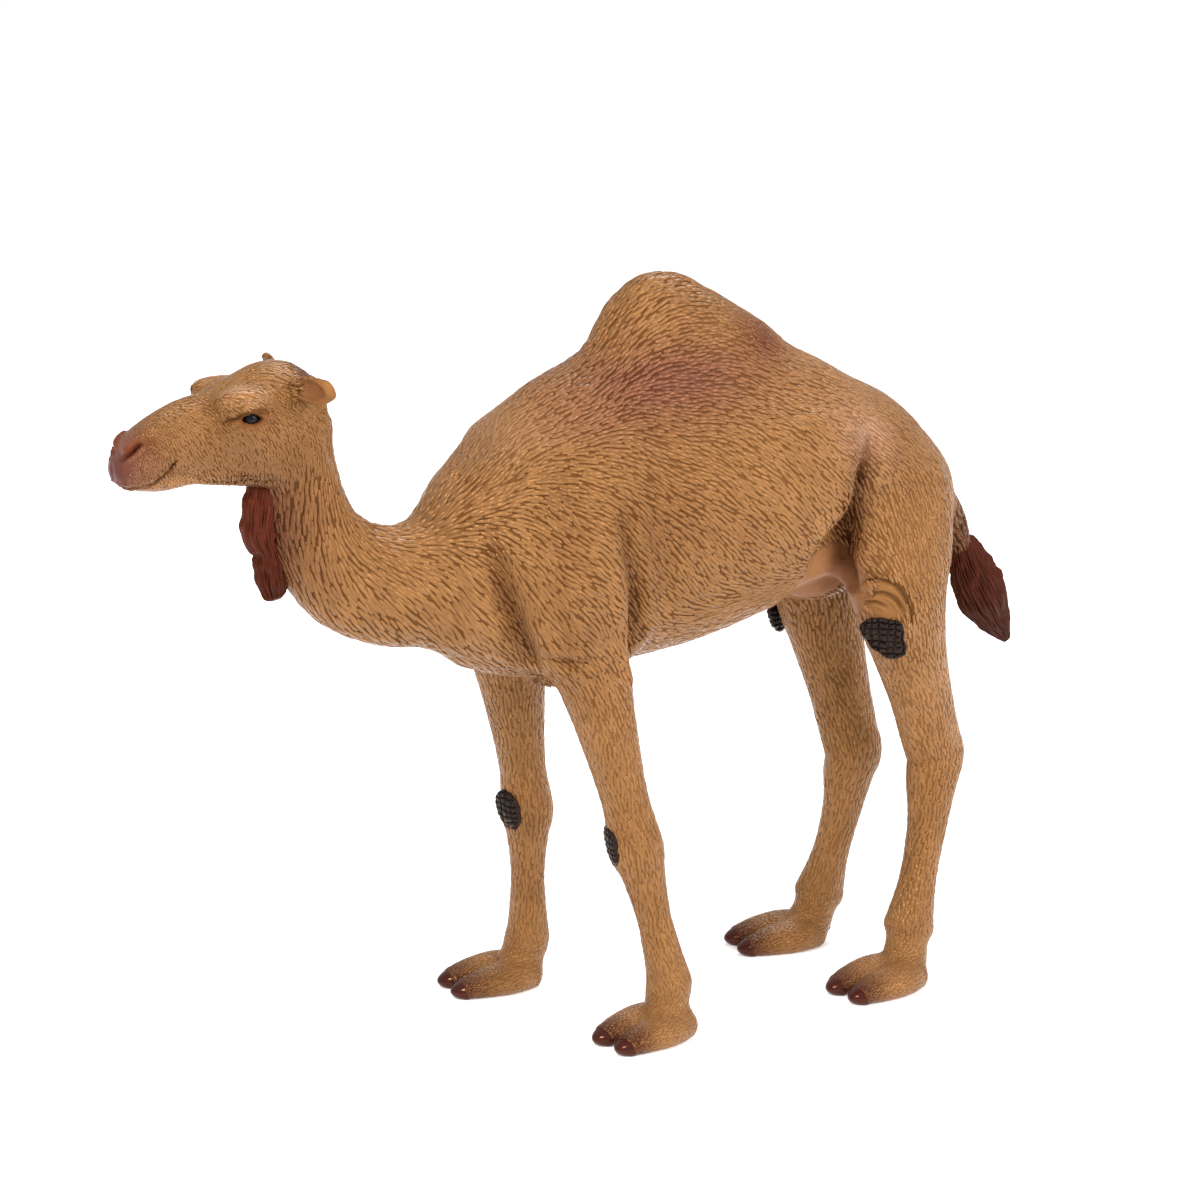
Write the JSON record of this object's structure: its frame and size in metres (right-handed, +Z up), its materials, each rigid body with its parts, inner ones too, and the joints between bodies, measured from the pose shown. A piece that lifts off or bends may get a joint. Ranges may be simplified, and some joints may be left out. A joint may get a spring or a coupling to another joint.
{
  "type": "moulded dromedary camel figurine",
  "caption": "Standing dromedary camel moulded as a soft vinyl figure, with a single hump, a curved neck, a throat beard, horny knee and stifle pads and broad feet.",
  "frame": {"origin": "on the floor under the middle of the figure's length and width", "axes": "the camel faces -Y, +Y runs to its tail, +X to its left side, +Z up"},
  "size_m": [0.0406, 0.1384, 0.105],
  "materials": {
    "tan_vinyl": "soft vinyl, caramel tan with a satin sheen and airbrushed shading",
    "dark_hair_vinyl": "soft vinyl, painted dark reddish brown",
    "black_pad_vinyl": "soft vinyl, painted black, cracked relief",
    "eye_vinyl": "soft vinyl, painted glossy black",
    "nail_vinyl": "soft vinyl, airbrushed dark reddish brown, glossy",
    "pale_vinyl": "soft vinyl, pale pinkish cream"
  },
  "bodies": {
    "root": {"trunk": "tan_vinyl", "hump": "tan_vinyl", "neck": "tan_vinyl", "throat_beard": "dark_hair_vinyl", "head": "tan_vinyl", "tail": "tan_vinyl", "tail_tuft": "dark_hair_vinyl", "sheath": "pale_vinyl", "eye_left": "eye_vinyl", "ear_left": "tan_vinyl", "front_leg_left": "tan_vinyl", "front_foot_left": "tan_vinyl", "front_pad_left": "black_pad_vinyl", "front_nail_left_outer": "nail_vinyl", "front_nail_left_inner": "nail_vinyl", "hind_leg_left": "tan_vinyl", "hind_foot_left": "tan_vinyl", "hind_pad_left": "black_pad_vinyl", "hind_nail_left_outer": "nail_vinyl", "hind_nail_left_inner": "nail_vinyl", "eye_right": "eye_vinyl", "ear_right": "tan_vinyl", "front_leg_right": "tan_vinyl", "front_foot_right": "tan_vinyl", "front_pad_right": "black_pad_vinyl", "front_nail_right_outer": "nail_vinyl", "front_nail_right_inner": "nail_vinyl", "hind_leg_right": "tan_vinyl", "hind_foot_right": "tan_vinyl", "hind_pad_right": "black_pad_vinyl", "hind_nail_right_outer": "nail_vinyl", "hind_nail_right_inner": "nail_vinyl"}
  },
  "joints": []
}
